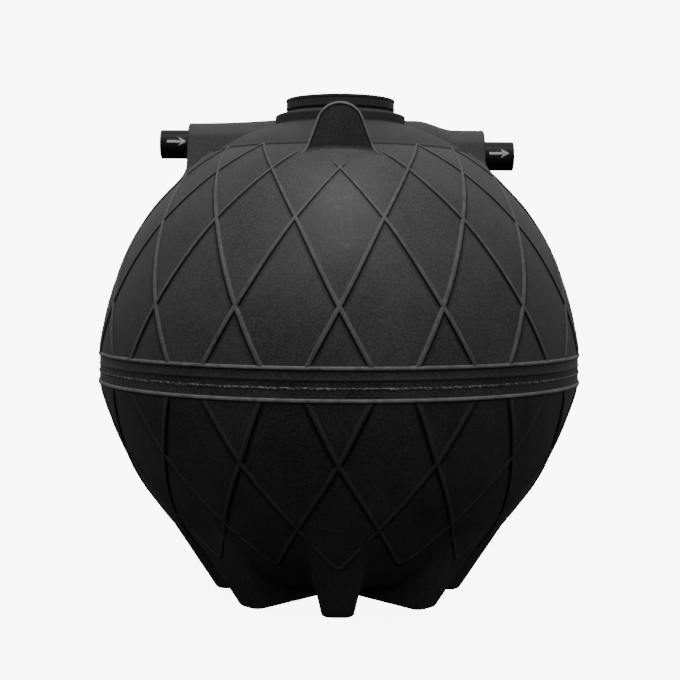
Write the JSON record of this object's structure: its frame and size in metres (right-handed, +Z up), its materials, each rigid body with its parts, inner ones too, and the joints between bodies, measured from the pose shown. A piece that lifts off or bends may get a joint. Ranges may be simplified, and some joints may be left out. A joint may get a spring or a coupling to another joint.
{
  "type": "wastewater treatment tank",
  "caption": "Globe-shaped moulded plastic wastewater tank with diamond ribs, a belt round the middle, radial feet, inlet and outlet pipe stubs, lifting ears and a round manhole lid.",
  "frame": {"origin": "on the ground under the centre of the tank", "axes": "+Z up, -Y towards the front with one lifting ear, -X towards the inlet pipe and +X towards the outlet pipe"},
  "size_m": [1.867, 1.867, 1.916],
  "materials": {
    "shell": "moulded black polyethylene with a slight sheen",
    "lid": "moulded black polyethylene with a slight sheen",
    "pipe": "smooth black pipe"
  },
  "bodies": {
    "tank": {"manhole_neck": "shell", "crown_right": "shell", "crown_back_right": "shell", "crown_back": "shell", "crown_back_left": "shell", "crown_left": "shell", "crown_front_left": "shell", "crown_front": "shell", "crown_front_right": "shell", "upper_shell_right": "shell", "upper_shell_back_right": "shell", "upper_shell_back": "shell", "upper_shell_back_left": "shell", "upper_shell_left": "shell", "upper_shell_front_left": "shell", "upper_shell_front": "shell", "upper_shell_front_right": "shell", "upper_rim_band": "shell", "lower_rim_band": "shell", "lower_shell_right": "shell", "lower_shell_back_right": "shell", "lower_shell_back": "shell", "lower_shell_back_left": "shell", "lower_shell_left": "shell", "lower_shell_front_left": "shell", "lower_shell_front": "shell", "lower_shell_front_right": "shell", "tank_floor": "shell", "foot_hub": "shell", "foot_right": "shell", "foot_back_right": "shell", "foot_back": "shell", "foot_back_left": "shell", "foot_left": "shell", "foot_front_left": "shell", "foot_front": "shell", "foot_front_right": "shell", "inlet_housing": "shell", "outlet_housing": "shell", "inlet_pipe": "pipe", "outlet_pipe": "pipe", "front_lifting_ear": "shell", "back_lifting_ear": "shell"},
    "lid": {"manhole_lid": "lid"}
  },
  "joints": [
    {"name": "lid_lift", "type": "slide", "parent": "tank", "child": "lid", "axis": [0, 0, 1], "range_m": [0, 0.4]}
  ]
}
